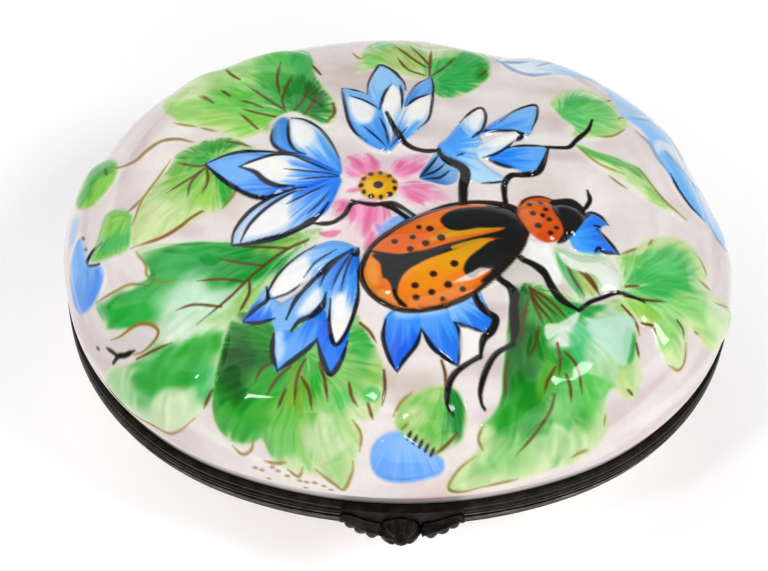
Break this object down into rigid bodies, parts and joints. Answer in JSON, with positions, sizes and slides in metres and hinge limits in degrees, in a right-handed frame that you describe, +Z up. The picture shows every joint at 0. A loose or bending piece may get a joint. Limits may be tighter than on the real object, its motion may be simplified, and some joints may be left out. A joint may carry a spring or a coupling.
{
  "type": "hinged pill box",
  "caption": "Oval porcelain pill box: domed lid moulded with leaves, flowers and a beetle, shallow bowl, dark metal rims, rear hinge and front clasp.",
  "frame": {"origin": "on the table under the middle of the box", "axes": "+X to the right along the long axis, +Y to the hinge at the back, +Z up through the crown of the lid"},
  "size_m": [0.08, 0.0734, 0.0362],
  "materials": {
    "painted_porcelain": "glossy glaze over hand painting",
    "pale_porcelain": "glossy glaze",
    "cement": "matt bedding plaster",
    "dark_brass": "near black patina, satin on the ridges"
  },
  "bodies": {
    "base": {"base_bowl": "pale_porcelain", "base_cement": "cement", "base_rim": "dark_brass", "base_hinge_leaf": "dark_brass", "base_knuckle_left": "dark_brass", "base_knuckle_centre": "dark_brass", "base_knuckle_right": "dark_brass", "hinge_pin": "dark_brass", "catch_stud": "dark_brass"},
    "lid": {"lid_shell": "painted_porcelain", "lid_cement": "cement", "lid_rim": "dark_brass", "lid_hinge_leaf": "dark_brass", "lid_knuckle_left": "dark_brass", "lid_knuckle_right": "dark_brass", "clasp_plate": "dark_brass", "clasp_wing_left": "dark_brass", "clasp_wing_right": "dark_brass", "clasp_blossom": "dark_brass"}
  },
  "joints": [
    {"name": "lid_hinge", "type": "hinge", "parent": "base", "child": "lid", "pos_m": [0, 0.0354, 0.01742], "axis": [-1, 0, 0], "range_deg": [0, 100]}
  ]
}
